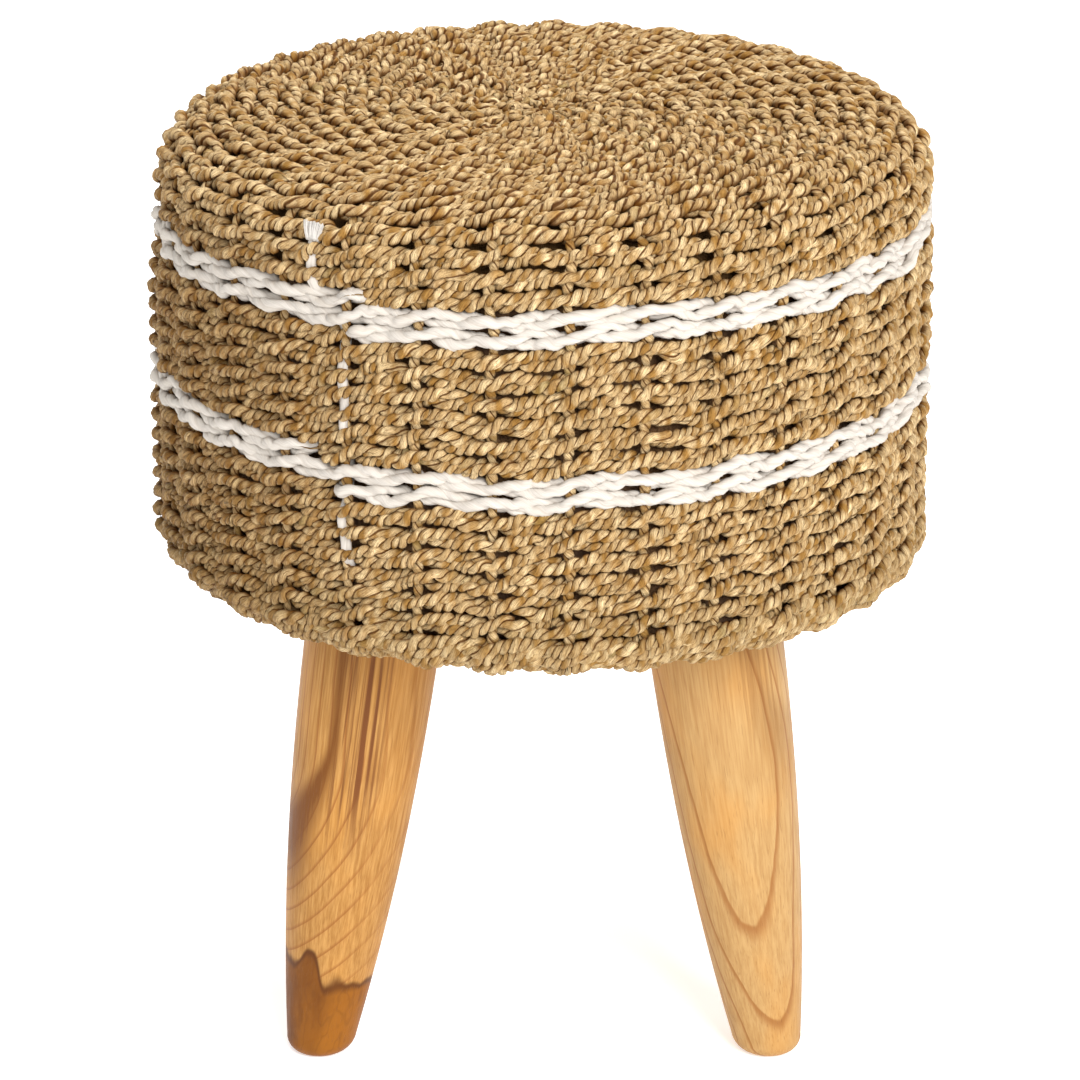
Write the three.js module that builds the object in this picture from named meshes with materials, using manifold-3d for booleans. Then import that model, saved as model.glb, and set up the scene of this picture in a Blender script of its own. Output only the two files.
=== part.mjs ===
import * as THREE from 'three';
import { mergeVertices } from 'three/addons/utils/BufferGeometryUtils.js';
import Module from 'manifold-3d';

// A round woven stool: a padded wooden drum covered with twined seagrass cord, on four splayed teak legs.
// Millimetres, +Z up, origin on the floor under the middle of the seat, front towards -Y.

const wasm = await Module();
wasm.setup();

// Driving dimensions of the drum's wooden frame.
const legHeight = 241.6; // floor to the underside of the base board
const baseBoardThickness = 15;
const postLength = 139.4; // base board to top board
const topBoardThickness = 12;
const drumRadius = 174.4; // outside of the drum's wall
const wallThickness = 3;
const wallFootRounding = 1;
const postWidth = 30;
const postInset = 36.4; // outside of the drum to the middle of a post
const foamThickness = 28.1;

// Driving dimensions of the woven cover.
const warpThickness = 4;
const warpWidth = 4;
const warpHubRadius = 24;
const coverThickness = 9;
const ribDepth = 3; // how far the groove between two rows lies under their crests
const rowPitch = 10.3; // a ring's rows come as near to it as its width lets them
const whiteRowPitch = 8.4;
const centreRadius = 30.9;
const bandDrop = 4.5; // the rounded upper edge's end to the upper white band
const bandWidth = 16.8;
const bandSpacing = 61.8; // upper to lower white band
const hemWidth = 21.4; // how far the cover is turned under, from the outside of the drum
const warpCount = 33;
const warpTurn = 3.5; // degrees from the front to the first warp, to the right
const carryWarp = -3; // the warp that the carried white cord lies beside
const carryRun = 30.9; // how far the carried white cord runs past each white band

// Driving dimensions of the legs and of what holds them.
const legInset = 64.7; // outside of the drum to a leg's axis, at the base board
const legLean = 46.1; // how much further out the axis meets the floor
const legTopRadius = 33.2;
const legFootRadius = 17.1;
const footRounding = 8;
const wedgeWidth = 44;
const wedgeHeight = 14;
const legScrewRadius = 4;
const legScrewDepth = 48; // in the leg
const screwTipLength = 8;
const hexRadius = 7.5;
const hexHeight = 5.5;
const washerRadius = 12;
const washerThickness = 1.6;
const dowelRadius = 5;
const dowelDepth = 24; // in the leg
const dowelOffset = 17; // leg's axis to the dowel's axis
const postScrewRadius = 2.5;
const postScrewLength = 50;
const postScrewHeadRadius = 5;
const postScrewTipLength = 5;

const fit = 0.3; // clearance between two pieces that touch
const overrun = 5; // how far a cutter reaches past what it cuts

// Shares and counts.
const legCurveShare = 2.3; // power of the curve from a leg's foot to its top
const legSteps = 8;
const topEdgeSteps = 4; // straight steps round the drum's upper edge
const footEdgeSteps = 2; // straight steps round its lower edge
const ringSides = 32;
const footSteps = 3; // straight steps round the end of a foot
const legSides = 20;
const roundSides = 12;
const hexSides = 6;
const legCount = 4;
const postCount = 4;

// Heights above the floor.
const baseTop = legHeight + baseBoardThickness;
const topBoardBottom = baseTop + postLength;
const topBoardTop = topBoardBottom + topBoardThickness;
const foamBottom = topBoardTop + fit;
const boardRadius = drumRadius - wallThickness - fit;

// Distances from the drum's middle.
const postRadius = drumRadius - postInset;
const hemRadius = drumRadius - hemWidth;
const legTopSpread = drumRadius - legInset;
const legFootSpread = legTopSpread + legLean;

// How far the layers of the cover reach outside the drum.
const warpInside = fit;
const warpOutside = warpInside + warpThickness;
const coverInside = warpOutside + fit;
const coverOutside = coverInside + coverThickness;

const materials = {
  seagrass: new THREE.MeshStandardMaterial({ color: 0xb89660, roughness: 0.85, metalness: 0 }),
  white: new THREE.MeshStandardMaterial({ color: 0xece8e0, roughness: 0.8, metalness: 0 }),
  teak: new THREE.MeshStandardMaterial({ color: 0xdcae74, roughness: 0.5, metalness: 0 }),
  plywood: new THREE.MeshStandardMaterial({ color: 0xc9a673, roughness: 0.7, metalness: 0 }),
  hardboard: new THREE.MeshStandardMaterial({ color: 0x6b6350, roughness: 0.8, metalness: 0 }),
  softwood: new THREE.MeshStandardMaterial({ color: 0xd8bd8c, roughness: 0.7, metalness: 0 }),
  foam: new THREE.MeshStandardMaterial({ color: 0x5c5648, roughness: 0.95, metalness: 0 }),
  steel: new THREE.MeshStandardMaterial({ color: 0xb4b6b8, roughness: 0.35, metalness: 1 }),
};

const stool = new THREE.Group();

// Adds a named piece to a group.
function addPiece(group, name, geometry, material) {
  const mesh = new THREE.Mesh(geometry, material);
  mesh.name = name;
  group.add(mesh);
  return mesh;
}

// Solids are cut and joined as closed meshes that hold positions only.
function toSolid(geometry) {
  const bare = geometry.clone();
  bare.deleteAttribute('normal');
  bare.deleteAttribute('uv');
  const merged = mergeVertices(bare);
  const vertProperties = Float32Array.from(merged.attributes.position.array);
  const triVerts = Uint32Array.from(merged.index.array);
  return new wasm.Manifold(new wasm.Mesh({ numProp: 3, vertProperties, triVerts }));
}

function toGeometry(solid) {
  const mesh = solid.getMesh();
  const geometry = new THREE.BufferGeometry();
  geometry.setAttribute('position', new THREE.BufferAttribute(mesh.vertProperties, 3));
  geometry.setIndex(new THREE.BufferAttribute(mesh.triVerts, 1));
  const flat = geometry.toNonIndexed();
  flat.computeVertexNormals();
  return flat;
}

function cutBy(geometry, cutters) {
  let solid = toSolid(geometry);
  for (const cutter of cutters) {
    solid = solid.subtract(toSolid(cutter));
  }
  return toGeometry(solid);
}

// Turns a profile of [radius, height] points round the Z axis.
function turned(profile, sides) {
  const points = profile.map(([radius, height]) => new THREE.Vector2(radius, height));
  const geometry = new THREE.LatheGeometry(points, sides);
  geometry.rotateX(Math.PI / 2);
  return geometry;
}

// A ring's profile is closed by repeating its first point.
function turnedRing(profile, sides) {
  return turned([...profile, profile[0]], sides);
}

// A flat-topped round rod between two heights.
function rod(radius, low, high, sides = roundSides) {
  return turned([[0, low], [radius, low], [radius, high], [0, high]], sides);
}

// The drum's section, from the middle of its top, over its rounded edge, down its side, round its
// foot and back under it. A place on it is a length along the cover's outside, and the same place
// on a deeper layer lies straight behind it.
const topEdgeRadius = foamThickness;
const flatLength = drumRadius - topEdgeRadius;
const topArcLength = (topEdgeRadius + coverOutside) * Math.PI / 2;
const sideLength = foamBottom - legHeight - wallFootRounding;
const footArcLength = (wallFootRounding + coverOutside) * Math.PI / 2;
const underLength = drumRadius - wallFootRounding - hemRadius;
const topArcStart = flatLength;
const sideStart = topArcStart + topArcLength;
const footArcStart = sideStart + sideLength;
const underStart = footArcStart + footArcLength;
const coverEnd = underStart + underLength;

function sectionPoint(length, layer) {
  if (length <= topArcStart) {
    return [length, foamBottom + topEdgeRadius + layer];
  }
  if (length <= sideStart) {
    const turn = (length - topArcStart) / topArcLength * Math.PI / 2;
    const radius = topEdgeRadius + layer;
    return [flatLength + radius * Math.sin(turn), foamBottom + radius * Math.cos(turn)];
  }
  if (length <= footArcStart) {
    return [drumRadius + layer, foamBottom - (length - sideStart)];
  }
  if (length <= underStart) {
    const turn = (length - footArcStart) / footArcLength * Math.PI / 2;
    const radius = wallFootRounding + layer;
    const footMiddle = legHeight + wallFootRounding;
    return [
      drumRadius - wallFootRounding + radius * Math.cos(turn),
      footMiddle - radius * Math.sin(turn),
    ];
  }
  return [drumRadius - wallFootRounding - (length - underStart), legHeight - layer];
}

// Every layer under the rows has its corners at the same stations along the section, with straight
// stretches between them, so that no layer cuts into the next.
const stations = [0];
for (let step = 0; step <= topEdgeSteps; step += 1) {
  stations.push(topArcStart + topArcLength * step / topEdgeSteps);
}
for (let step = 0; step <= footEdgeSteps; step += 1) {
  stations.push(footArcStart + footArcLength * step / footEdgeSteps);
}
stations.push(coverEnd);

function layerPoint(length, layer) {
  const above = Math.max(1, stations.findIndex((station) => station >= length));
  const low = stations[above - 1];
  const share = (length - low) / (stations[above] - low);
  const [lowX, lowY] = sectionPoint(low, layer);
  const [highX, highY] = sectionPoint(stations[above], layer);
  return [lowX + (highX - lowX) * share, lowY + (highY - lowY) * share];
}

function layerPoints(start, end, layer) {
  const inside = stations.filter((station) => station > start + fit && station < end - fit);
  return [start, ...inside, end].map((length) => layerPoint(length, layer));
}

// A ring of the cover: rows of cord as ribs outside, and the smooth inside that lies on the warps.
// The inside is moved out a little, so that the middle of each flat of the ring clears the warps.
const flatAllowance = 1 / Math.cos(Math.PI / ringSides);

function wovenRing(start, end, targetPitch) {
  const rows = Math.max(1, Math.round((end - start) / targetPitch));
  const pitch = (end - start) / rows;
  const outside = [];
  for (let row = 0; row < rows; row += 1) {
    const rowStart = start + row * pitch;
    if (row > 0 || start > 0) {
      outside.push(sectionPoint(rowStart, coverOutside - ribDepth));
    } else {
      outside.push(sectionPoint(0, coverOutside));
    }
    outside.push(sectionPoint(rowStart + pitch / 2, coverOutside));
  }
  outside.push(sectionPoint(end, coverOutside - ribDepth));
  const inside = layerPoints(start, end, coverInside).reverse().map(
    ([radius, height]) => [radius * flatAllowance, height],
  );
  const profile = [...outside, ...inside];
  if (start > 0) {
    return turnedRing(profile.reverse(), ringSides);
  }
  return turned(profile.reverse(), ringSides);
}

// The cover is one spiral of twined cord, made here as rings that end where its colour changes.
const upperBandStart = sideStart + bandDrop;
const upperBandEnd = upperBandStart + bandWidth;
const lowerBandStart = upperBandEnd + bandSpacing;
const lowerBandEnd = lowerBandStart + bandWidth;

function buildCover() {
  const { seagrass, white } = materials;
  const rings = [
    ['centre_weave', 0, centreRadius, rowPitch, seagrass],
    ['crown_weave', centreRadius, topArcStart, rowPitch, seagrass],
    ['shoulder_weave', topArcStart, upperBandStart, rowPitch, seagrass],
    ['upper_white_band', upperBandStart, upperBandEnd, whiteRowPitch, white],
    ['middle_weave', upperBandEnd, lowerBandStart, rowPitch, seagrass],
    ['lower_white_band', lowerBandStart, lowerBandEnd, whiteRowPitch, white],
    ['lower_weave', lowerBandEnd, underStart, rowPitch, seagrass],
    ['hem_weave', underStart, coverEnd, rowPitch, seagrass],
  ];
  const half = fit / 2;
  for (const [name, start, end, pitch, material] of rings) {
    const from = start > 0 ? start + half : 0;
    addPiece(stool, name, wovenRing(from, end - half, pitch), material);
  }
}

// A cord that lies on the drum along its section, as a bent bar of square section.
function sectionCord(start, end, width) {
  const outer = layerPoints(start, end, warpOutside);
  const inner = layerPoints(start, end, warpInside).reverse();
  const outline = new THREE.Shape([...outer, ...inner].map(([x, y]) => new THREE.Vector2(x, y)));
  const bar = new THREE.ExtrudeGeometry(outline, { depth: width, bevelEnabled: false });
  bar.rotateX(Math.PI / 2);
  bar.translate(0, width / 2, 0);
  return bar;
}

function warpAngle(index) {
  return THREE.MathUtils.degToRad(warpTurn + index * 360 / warpCount) - Math.PI / 2;
}

// The warps run from the middle of the top, down the side, to the turned-under hem.
function buildWarps() {
  const hubBottom = foamBottom + topEdgeRadius + warpInside;
  let cage = toSolid(rod(warpHubRadius, hubBottom, hubBottom + warpThickness, ringSides));
  const bar = sectionCord(warpHubRadius - warpWidth, coverEnd, warpWidth);
  for (let index = 0; index < warpCount; index += 1) {
    cage = cage.add(toSolid(bar.clone().rotateZ(warpAngle(index))));
  }
  addPiece(stool, 'warp_cords', toGeometry(cage), materials.seagrass);
}

// The white cord is carried down beside a warp, from one white band to the next.
function buildCarriedCord() {
  const start = upperBandStart - carryRun;
  const end = lowerBandEnd + carryRun;
  const bar = sectionCord(start, end, warpWidth);
  bar.translate(0, warpWidth + fit, 0);
  const cord = addPiece(stool, 'white_carried_cord', bar, materials.white);
  cord.rotation.z = warpAngle(carryWarp);
}

// A countersunk wood screw with its head's face at height 0 and its tip down.
function postScrew(clearance) {
  const headDepth = postScrewHeadRadius - postScrewRadius;
  const shank = postScrewRadius + clearance;
  return turned([
    [0, -postScrewLength - clearance],
    [shank, -postScrewLength + postScrewTipLength - clearance],
    [shank, -headDepth - clearance],
    [postScrewHeadRadius + clearance, -clearance],
    [postScrewHeadRadius + clearance, 0],
    [0, 0],
  ], roundSides);
}

// The same shape with its clearance and a head that reaches out of the board, as a cutter.
function postScrewCutter(height, upwards) {
  const cutter = postScrew(fit);
  const mouth = rod(postScrewHeadRadius + fit, -fit, overrun);
  const joined = toGeometry(toSolid(cutter).add(toSolid(mouth)));
  if (upwards) {
    joined.rotateX(Math.PI);
  }
  joined.translate(postRadius, 0, height);
  return joined;
}

const lowerHeadHeight = legHeight + fit;
const upperHeadHeight = topBoardTop - fit;

function buildPosts() {
  const post = new THREE.BoxGeometry(postWidth, postWidth, postLength - 2 * fit);
  post.translate(postRadius, 0, baseTop + postLength / 2);
  const lowerCutter = postScrewCutter(lowerHeadHeight, true);
  const upperCutter = postScrewCutter(upperHeadHeight, false);
  const bored = cutBy(post, [lowerCutter, upperCutter]);
  const sides = ['front', 'right', 'back', 'left'];
  for (let index = 0; index < postCount; index += 1) {
    const corner = new THREE.Group();
    corner.rotation.z = -Math.PI / 2 + index * 2 * Math.PI / postCount;
    addPiece(corner, `${sides[index]}_post`, bored.clone(), materials.softwood);
    const lower = addPiece(corner, `${sides[index]}_post_lower_screw`, postScrew(0), materials.steel);
    lower.position.set(postRadius, 0, lowerHeadHeight);
    lower.rotation.x = Math.PI;
    const upper = addPiece(corner, `${sides[index]}_post_upper_screw`, postScrew(0), materials.steel);
    upper.position.set(postRadius, 0, upperHeadHeight);
    stool.add(corner);
  }
}

// A leg's axis leans outwards. Its own frame has its origin where the axis meets the base board's
// underside and its height along the axis, in a plane through the drum's axis.
const splay = Math.atan2(legFootSpread - legTopSpread, legHeight);

function alongLeg(geometry) {
  geometry.rotateY(-splay);
  geometry.translate(legTopSpread, 0, legHeight);
  return geometry;
}

function legRadiusAt(share) {
  return legFootRadius + (legTopRadius - legFootRadius) * (1 - (1 - share) ** legCurveShare);
}

// From the flat of the foot, round its edge, and up the curved side to the base board.
function legProfile() {
  const profile = [[0, 0]];
  for (let step = 0; step < footSteps; step += 1) {
    const turn = step / footSteps * Math.PI / 2;
    profile.push([
      legFootRadius - footRounding + footRounding * Math.sin(turn),
      footRounding - footRounding * Math.cos(turn),
    ]);
  }
  const sideHeight = legHeight - fit - footRounding;
  for (let step = 0; step <= legSteps; step += 1) {
    const share = step / legSteps;
    profile.push([legRadiusAt(share), footRounding + sideHeight * share]);
  }
  profile.push([0, legHeight - fit]);
  return profile;
}

const screwSeat = (baseBoardThickness + fit + wedgeHeight) / Math.cos(splay);
const washerBottom = screwSeat + fit;
const headBottom = washerBottom + washerThickness + fit;
const dowelTop = (baseBoardThickness - fit) / Math.cos(splay)
  - (dowelOffset + dowelRadius) * Math.tan(splay);

function legScrewCutter() {
  return alongLeg(rod(legScrewRadius + fit, -legScrewDepth - fit, screwSeat + overrun));
}

function dowelCutter() {
  const cutter = rod(dowelRadius + fit, -dowelDepth - fit, baseBoardThickness + overrun);
  cutter.translate(dowelOffset, 0, 0);
  return alongLeg(cutter);
}

// The leg's round sections stay level and slide outwards towards the floor, so its ends are level.
function buildLegGeometry() {
  const leg = turned(legProfile(), legSides);
  leg.applyMatrix4(new THREE.Matrix4().makeShear(0, 0, 0, 0, -Math.tan(splay), 0));
  leg.translate(legFootSpread, 0, 0);
  return cutBy(leg, [legScrewCutter(), dowelCutter()]);
}

// A wedge on the base board gives the leg's screw a seat square to the leg.
function buildWedgeGeometry() {
  const half = wedgeWidth / 2;
  const bottom = baseTop + fit;
  const middle = legTopSpread - (baseBoardThickness + fit + wedgeHeight) * Math.tan(splay);
  const rise = half * Math.tan(splay);
  const outline = new THREE.Shape([
    new THREE.Vector2(middle - half, bottom),
    new THREE.Vector2(middle + half, bottom),
    new THREE.Vector2(middle + half, bottom + wedgeHeight + rise),
    new THREE.Vector2(middle - half, bottom + wedgeHeight - rise),
  ]);
  const wedge = new THREE.ExtrudeGeometry(outline, { depth: wedgeWidth, bevelEnabled: false });
  wedge.rotateX(Math.PI / 2);
  wedge.translate(0, half, 0);
  return cutBy(wedge, [legScrewCutter()]);
}

function buildLegScrewGeometry() {
  const shank = turned([
    [0, -legScrewDepth],
    [legScrewRadius, -legScrewDepth + screwTipLength],
    [legScrewRadius, headBottom + hexHeight / 2],
    [0, headBottom + hexHeight / 2],
  ], roundSides);
  const head = rod(hexRadius, headBottom, headBottom + hexHeight, hexSides);
  return alongLeg(toGeometry(toSolid(shank).add(toSolid(head))));
}

function buildWasherGeometry() {
  const hole = legScrewRadius + fit;
  const top = washerBottom + washerThickness;
  return alongLeg(turnedRing([
    [hole, washerBottom],
    [washerRadius, washerBottom],
    [washerRadius, top],
    [hole, top],
  ], roundSides));
}

function buildDowelGeometry() {
  const dowel = rod(dowelRadius, -dowelDepth, dowelTop);
  dowel.translate(dowelOffset, 0, 0);
  return alongLeg(dowel);
}

function buildLegs() {
  const leg = buildLegGeometry();
  const wedge = buildWedgeGeometry();
  const screw = buildLegScrewGeometry();
  const washer = buildWasherGeometry();
  const dowel = buildDowelGeometry();
  const corners = ['front_right', 'back_right', 'back_left', 'front_left'];
  for (let index = 0; index < legCount; index += 1) {
    const corner = new THREE.Group();
    corner.rotation.z = (index - 0.5) * 2 * Math.PI / legCount;
    addPiece(corner, `${corners[index]}_leg`, leg.clone(), materials.teak);
    addPiece(corner, `${corners[index]}_leg_wedge`, wedge.clone(), materials.softwood);
    addPiece(corner, `${corners[index]}_leg_screw`, screw.clone(), materials.steel);
    addPiece(corner, `${corners[index]}_leg_washer`, washer.clone(), materials.steel);
    addPiece(corner, `${corners[index]}_leg_dowel`, dowel.clone(), materials.softwood);
    stool.add(corner);
  }
}

// Copies of one cutter for each place round the drum, starting at a turn.
function roundTheDrum(cutter, count, start) {
  const copies = [];
  for (let index = 0; index < count; index += 1) {
    copies.push(cutter.clone().rotateZ(start + index * 2 * Math.PI / count));
  }
  return copies;
}

function buildFrame() {
  const postTurn = -Math.PI / 2;
  const legTurn = -Math.PI / legCount;
  const baseBoard = rod(boardRadius, legHeight, baseTop, ringSides);
  const boredBase = cutBy(baseBoard, [
    ...roundTheDrum(postScrewCutter(lowerHeadHeight, true), postCount, postTurn),
    ...roundTheDrum(legScrewCutter(), legCount, legTurn),
    ...roundTheDrum(dowelCutter(), legCount, legTurn),
  ]);
  addPiece(stool, 'base_board', boredBase, materials.plywood);
  const topBoard = rod(boardRadius, topBoardBottom, topBoardTop, ringSides);
  const topScrewCutter = postScrewCutter(upperHeadHeight, false);
  const boredTop = cutBy(topBoard, roundTheDrum(topScrewCutter, postCount, postTurn));
  addPiece(stool, 'top_board', boredTop, materials.plywood);
  buildPosts();
}

function buildWall() {
  const wallInside = drumRadius - wallThickness;
  const outside = layerPoints(sideStart + fit, underStart, 0);
  const profile = [[wallInside, topBoardTop], [wallInside, legHeight], ...outside.reverse()];
  addPiece(stool, 'drum_wall', turnedRing(profile, ringSides), materials.hardboard);
}

// The foam's edge is rounded over as deep as the foam is thick.
function buildFoam() {
  const outside = layerPoints(topArcStart, sideStart, 0).reverse();
  const profile = [[0, foamBottom], ...outside, [0, foamBottom + foamThickness]];
  addPiece(stool, 'foam_pad', turned(profile, ringSides), materials.foam);
}

buildLegs();
buildFrame();
buildWall();
buildFoam();
buildWarps();
buildCover();
buildCarriedCord();

export default stool;
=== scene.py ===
# %% [markdown]
# A round woven stool, dressed in Blender. The CAD model gives the drum, its boards, posts and
# screws, the four leaning legs and plain rings where the cover goes. This script keeps what is
# hard and square, and makes what the eye enjoys: cords that are twisted and twined one by one,
# legs of grained wood, and the two white bands. All lengths are in metres.

# %% Load the frame
import math

import bpy
import numpy as np
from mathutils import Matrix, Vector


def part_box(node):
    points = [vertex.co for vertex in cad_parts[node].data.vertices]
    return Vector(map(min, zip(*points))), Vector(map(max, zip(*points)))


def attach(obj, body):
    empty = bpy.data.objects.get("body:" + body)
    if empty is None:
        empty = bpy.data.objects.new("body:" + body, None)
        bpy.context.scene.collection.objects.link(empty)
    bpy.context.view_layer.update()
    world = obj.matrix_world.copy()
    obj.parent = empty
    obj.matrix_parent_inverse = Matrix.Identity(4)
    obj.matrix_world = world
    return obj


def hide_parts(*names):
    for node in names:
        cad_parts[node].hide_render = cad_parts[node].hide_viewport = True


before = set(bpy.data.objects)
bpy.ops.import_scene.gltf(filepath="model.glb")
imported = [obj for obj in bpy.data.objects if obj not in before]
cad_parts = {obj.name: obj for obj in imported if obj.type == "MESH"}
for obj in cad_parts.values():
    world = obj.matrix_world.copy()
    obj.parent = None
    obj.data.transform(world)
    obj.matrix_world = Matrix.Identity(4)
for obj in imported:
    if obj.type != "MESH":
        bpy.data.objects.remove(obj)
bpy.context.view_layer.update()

# %% [markdown]
# The camera comes first, because everything is judged through it. It stands about two metres in
# front of the stool and one metre up, and looks down by nearly a quarter of a right angle. A long
# lens keeps the drum's sides nearly parallel, as in a catalogue photograph.

# %% Camera
camera_place = (-0.0019, -2.0890, 1.0275)
camera_pitch = math.radians(21.03)

camera_data = bpy.data.cameras.new("camera")
camera_data.lens = 150.1
camera_data.sensor_width = 36
camera = bpy.data.objects.new("camera", camera_data)
camera.location = camera_place
camera.rotation_euler = (math.pi / 2 - camera_pitch, 0, 0)
bpy.context.scene.collection.objects.link(camera)
bpy.context.scene.camera = camera
print("camera lens", camera_data.lens, "mm, pitched", round(math.degrees(camera_pitch), 1), "degrees")

# %% [markdown]
# A studio is a pale floor under a white sky. The sky alone gives soft light from all sides. One
# large lamp on the right makes the right side brighter than the left, and the cords get small
# shadows that show how they cross. A weak lamp on the left softens them, and a third lamp
# overhead lifts the seat. The Standard view keeps whites white.

# %% Floor and lights
floor_size = 16
floor_middle = (0, 4, 0)
sky_strength = 0.76

bpy.context.scene.view_settings.view_transform = "Standard"


def deselect_all():
    bpy.ops.object.select_all(action="DESELECT")


deselect_all()
bpy.ops.mesh.primitive_plane_add(size=floor_size, location=floor_middle)
floor = bpy.context.object
floor.name = "floor"
bpy.ops.object.transform_apply(location=True)

world = bpy.data.worlds.new("white sky")
world.use_nodes = True
background = world.node_tree.nodes["Background"]
background.inputs["Color"].default_value = (1.0, 1.0, 1.0, 1)
background.inputs["Strength"].default_value = sky_strength
bpy.context.scene.world = world


def add_lamp(name, place, aim, width, power):
    """A square area lamp that looks at a point."""
    data = bpy.data.lights.new(name, "AREA")
    data.size = width
    data.energy = power
    lamp = bpy.data.objects.new(name, data)
    lamp.location = place
    direction = [a - p for a, p in zip(aim, place)]
    across = math.hypot(direction[0], direction[1])
    lamp.rotation_euler = (
        math.atan2(across, -direction[2]),
        0,
        math.atan2(direction[1], direction[0]) - math.pi / 2,
    )
    bpy.context.scene.collection.objects.link(lamp)


add_lamp("key lamp", (1.07, -2.14, 1.78), (0, 0, 0.28), 1.4, 82)
add_lamp("fill lamp", (-1.4, -2.0, 1.1), (0, 0, 0.25), 1.6, 8)
add_lamp("top lamp", (-0.1, 0.3, 2.2), (0, 0, 0.45), 1.2, 27)
print("a floor, a sky and three lamps")

# %% [markdown]
# Shader maths is easier to read as plain sums. `Value` wraps one output of a node, and its
# operators add Math nodes, so that `1 - mask` or `grain * 0.3` works as in a formula. `Finish` is
# one material: its `node` method adds any node, sets its settings first and then its sockets.


# %% Values and finishes
class Value:
    """One output of a finish's nodes."""

    def __init__(self, finish, socket):
        self.finish = finish
        self.socket = socket

    def __add__(self, other):
        return self.finish.maths("ADD", self, other)

    def __radd__(self, other):
        return self.finish.maths("ADD", other, self)

    def __sub__(self, other):
        return self.finish.maths("SUBTRACT", self, other)

    def __rsub__(self, other):
        return self.finish.maths("SUBTRACT", other, self)

    def __mul__(self, other):
        return self.finish.maths("MULTIPLY", self, other)

    def __rmul__(self, other):
        return self.finish.maths("MULTIPLY", other, self)

    def __truediv__(self, other):
        return self.finish.maths("DIVIDE", self, other)

    def __rtruediv__(self, other):
        return self.finish.maths("DIVIDE", other, self)


class Finish:
    """One material, with its nodes."""

    def __init__(self, name):
        self.material = bpy.data.materials.new(name)
        self.material.use_nodes = True
        self.tree = self.material.node_tree
        self.tree.nodes.clear()

    def node(self, kind, settings=None, inputs=None):
        made = self.tree.nodes.new(kind)
        for key, value in (settings or {}).items():
            setattr(made, key, value)
        for key, value in (inputs or {}).items():
            if isinstance(value, Value):
                self.tree.links.new(value.socket, made.inputs[key])
            else:
                made.inputs[key].default_value = value
        return made

    def value(self, made, output=0):
        return Value(self, made.outputs[output])

    def maths(self, operation, *values):
        inputs = dict(enumerate(values))
        return self.value(self.node("ShaderNodeMath", {"operation": operation}, inputs))

    def combine(self, x, y, z):
        return self.value(self.node("ShaderNodeCombineXYZ", None, {0: x, 1: y, 2: z}))

    def separate(self, vector):
        made = self.node("ShaderNodeSeparateXYZ", None, {0: vector})
        return [self.value(made, axis) for axis in range(3)]

    def ramp(self, value, low, high, start=0.0, end=1.0):
        """Goes smoothly from start to end while the value goes from low to high."""
        settings = {"interpolation_type": "SMOOTHSTEP", "clamp": True}
        inputs = {0: value, 1: low, 2: high, 3: start, 4: end}
        return self.value(self.node("ShaderNodeMapRange", settings, inputs))

    def noise(self, vector, scale=1.0, detail=2.0, roughness=0.5):
        inputs = {"Vector": vector, "Scale": scale, "Detail": detail, "Roughness": roughness}
        return self.value(self.node("ShaderNodeTexNoise", None, inputs))

    def mix(self, share, first, second, blend="MIX"):
        """Two colours, mixed."""
        settings = {"data_type": "RGBA", "blend_type": blend}
        return self.value(self.node("ShaderNodeMix", settings, {0: share, 6: first, 7: second}), 2)

    def place(self):
        """Where a point is in the stool's own frame."""
        return self.value(self.node("ShaderNodeTexCoord"), "Object")

    def stored(self, name):
        """A vector that the piece's mesh holds."""
        return self.value(self.node("ShaderNodeAttribute", {"attribute_name": name}), "Vector")

    def surface(self, colour, roughness, height=None, depth=0.0002, constants=None):
        """Ends the finish with a surface shader. The height is a bump of that depth in metres."""
        inputs = {"Base Color": colour, "Roughness": roughness, **(constants or {})}
        if height is not None:
            bump = self.node("ShaderNodeBump", None, {"Height": height, "Distance": depth})
            inputs["Normal"] = self.value(bump)
        shader = self.node("ShaderNodeBsdfPrincipled", None, inputs)
        self.node("ShaderNodeOutputMaterial", None, {"Surface": self.value(shader)})
        return self.material


def paint(red, green, blue):
    """A colour as a paint chart gives it, 0 to 255, for a shader socket."""
    parts = [part / 255 for part in (red, green, blue)]
    linear = [part / 12.92 if part <= 0.04045 else ((part + 0.055) / 1.055) ** 2.4 for part in parts]
    return (*linear, 1)


print("a value class and a finish class")
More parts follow.
